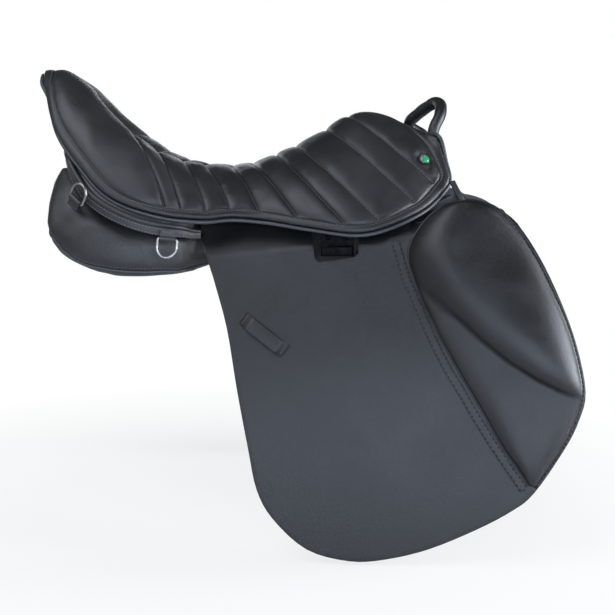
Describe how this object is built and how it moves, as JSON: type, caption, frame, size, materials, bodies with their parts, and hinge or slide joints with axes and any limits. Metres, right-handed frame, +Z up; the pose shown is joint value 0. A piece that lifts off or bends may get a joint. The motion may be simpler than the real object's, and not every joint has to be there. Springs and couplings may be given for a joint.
{
  "type": "saddle",
  "caption": "English-pattern riding saddle with a quilted seat, high cantle, stuffed panels, long flaps with knee rolls, stirrup bars, girth straps, tie rings and a carrying handle.",
  "frame": {"origin": "in the saddle's middle plane, between the two panels where they rest on the horse's back", "axes": "+X towards the horse's head, +Y towards the horse's left, +Z up"},
  "size_m": [0.5918, 0.4904, 0.5216],
  "materials": {
    "seat_leather": "soft black quilted seat leather, slight sheen",
    "flap_leather": "smooth black flap leather with a matt face",
    "panel_leather": "smooth black panel leather, slight sheen",
    "strap_leather": "black-brown strap leather, waxed",
    "foam": "open dark foam, hidden under the cover",
    "tree_plastic": "moulded black plastic",
    "steel": "plain steel, bright on the rings and studs",
    "webbing": "black woven webbing",
    "green_enamel": "plain green enamel, glossy"
  },
  "bodies": {
    "saddle": {"seat_cover": "seat_leather", "seat_foam": "foam", "tree": "tree_plastic", "head_plate": "steel", "seat_piping": "seat_leather", "cantle_back": "flap_leather", "pommel_front": "flap_leather", "cantle_facing": "panel_leather", "gullet_lining": "panel_leather", "handle": "flap_leather", "handle_cap_right": "flap_leather", "panel_right": "panel_leather", "front_facing_right": "panel_leather", "front_nail_right": "steel", "flap_root_rear_right": "flap_leather", "flap_root_front_right": "flap_leather", "sweat_flap_right": "flap_leather", "girth_web_right": "webbing", "bar_plate_right": "steel", "stirrup_bar_right": "steel", "bar_rivet_1_right": "steel", "bar_rivet_2_right": "steel", "catch_pin_right": "steel", "ring_tab_upper_right": "panel_leather", "ring_tab_lower_right": "panel_leather", "stud_rim_right": "steel", "stud_right": "green_enamel", "handle_cap_left": "flap_leather", "panel_left": "panel_leather", "front_facing_left": "panel_leather", "front_nail_left": "steel", "flap_root_rear_left": "flap_leather", "flap_root_front_left": "flap_leather", "sweat_flap_left": "flap_leather", "girth_web_left": "webbing", "bar_plate_left": "steel", "stirrup_bar_left": "steel", "bar_rivet_1_left": "steel", "bar_rivet_2_left": "steel", "catch_pin_left": "steel", "ring_tab_upper_left": "panel_leather", "ring_tab_lower_left": "panel_leather", "stud_rim_left": "steel", "stud_left": "green_enamel"},
    "right_flap": {"flap_right": "flap_leather", "knee_roll_right": "flap_leather", "keeper_right": "flap_leather"},
    "right_upper_ring": {"ring_upper_right": "steel"},
    "right_lower_ring": {"ring_lower_right": "steel"},
    "right_catch": {"bar_catch_right": "steel"},
    "right_rear_billet": {"billet_rear_right": "strap_leather"},
    "right_front_billet": {"billet_front_right": "strap_leather"},
    "left_flap": {"flap_left": "flap_leather", "knee_roll_left": "flap_leather", "keeper_left": "flap_leather"},
    "left_upper_ring": {"ring_upper_left": "steel"},
    "left_lower_ring": {"ring_lower_left": "steel"},
    "left_catch": {"bar_catch_left": "steel"},
    "left_rear_billet": {"billet_rear_left": "strap_leather"},
    "left_front_billet": {"billet_front_left": "strap_leather"}
  },
  "joints": [
    {"name": "flap_right_lift", "type": "hinge", "parent": "saddle", "child": "right_flap", "pos_m": [0.05, -0.13495, 0.014], "axis": [-0.9885, 0.0939, -0.1186], "range_deg": [0, 75]},
    {"name": "ring_upper_right_swing", "type": "hinge", "parent": "saddle", "child": "right_upper_ring", "pos_m": [-0.187, -0.1335, 0.07], "axis": [0.6695, -0.4996, -0.5496], "range_deg": [0, 130]},
    {"name": "ring_lower_right_swing", "type": "hinge", "parent": "saddle", "child": "right_lower_ring", "pos_m": [-0.087, -0.1555, 0.03], "axis": [-0.9859, -0.1183, 0.1183], "range_deg": [0, 110]},
    {"name": "bar_catch_right_drop", "type": "hinge", "parent": "saddle", "child": "right_catch", "pos_m": [0.0895, -0.1461, 0.015], "axis": [0, -1, 0], "range_deg": [0, 80]},
    {"name": "billet_rear_right_swing", "type": "hinge", "parent": "saddle", "child": "right_rear_billet", "pos_m": [0.034, -0.12498, -0.006], "axis": [0, 1, 0], "range_deg": [-3, 3]},
    {"name": "billet_front_right_swing", "type": "hinge", "parent": "saddle", "child": "right_front_billet", "pos_m": [0.094, -0.13317, -0.006], "axis": [0, 1, 0], "range_deg": [-3, 3]},
    {"name": "flap_left_lift", "type": "hinge", "parent": "saddle", "child": "left_flap", "pos_m": [0.05, 0.13495, 0.014], "axis": [0.9885, 0.0939, 0.1186], "range_deg": [0, 75]},
    {"name": "ring_upper_left_swing", "type": "hinge", "parent": "saddle", "child": "left_upper_ring", "pos_m": [-0.187, 0.1335, 0.07], "axis": [-0.6695, -0.4996, 0.5496], "range_deg": [0, 130]},
    {"name": "ring_lower_left_swing", "type": "hinge", "parent": "saddle", "child": "left_lower_ring", "pos_m": [-0.087, 0.1555, 0.03], "axis": [0.9859, -0.1183, -0.1183], "range_deg": [0, 110]},
    {"name": "bar_catch_left_drop", "type": "hinge", "parent": "saddle", "child": "left_catch", "pos_m": [0.0895, 0.1461, 0.015], "axis": [0, -1, 0], "range_deg": [0, 80]},
    {"name": "billet_rear_left_swing", "type": "hinge", "parent": "saddle", "child": "left_rear_billet", "pos_m": [0.034, 0.12498, -0.006], "axis": [0, 1, 0], "range_deg": [-3, 3]},
    {"name": "billet_front_left_swing", "type": "hinge", "parent": "saddle", "child": "left_front_billet", "pos_m": [0.094, 0.13317, -0.006], "axis": [0, 1, 0], "range_deg": [-3, 3]}
  ]
}
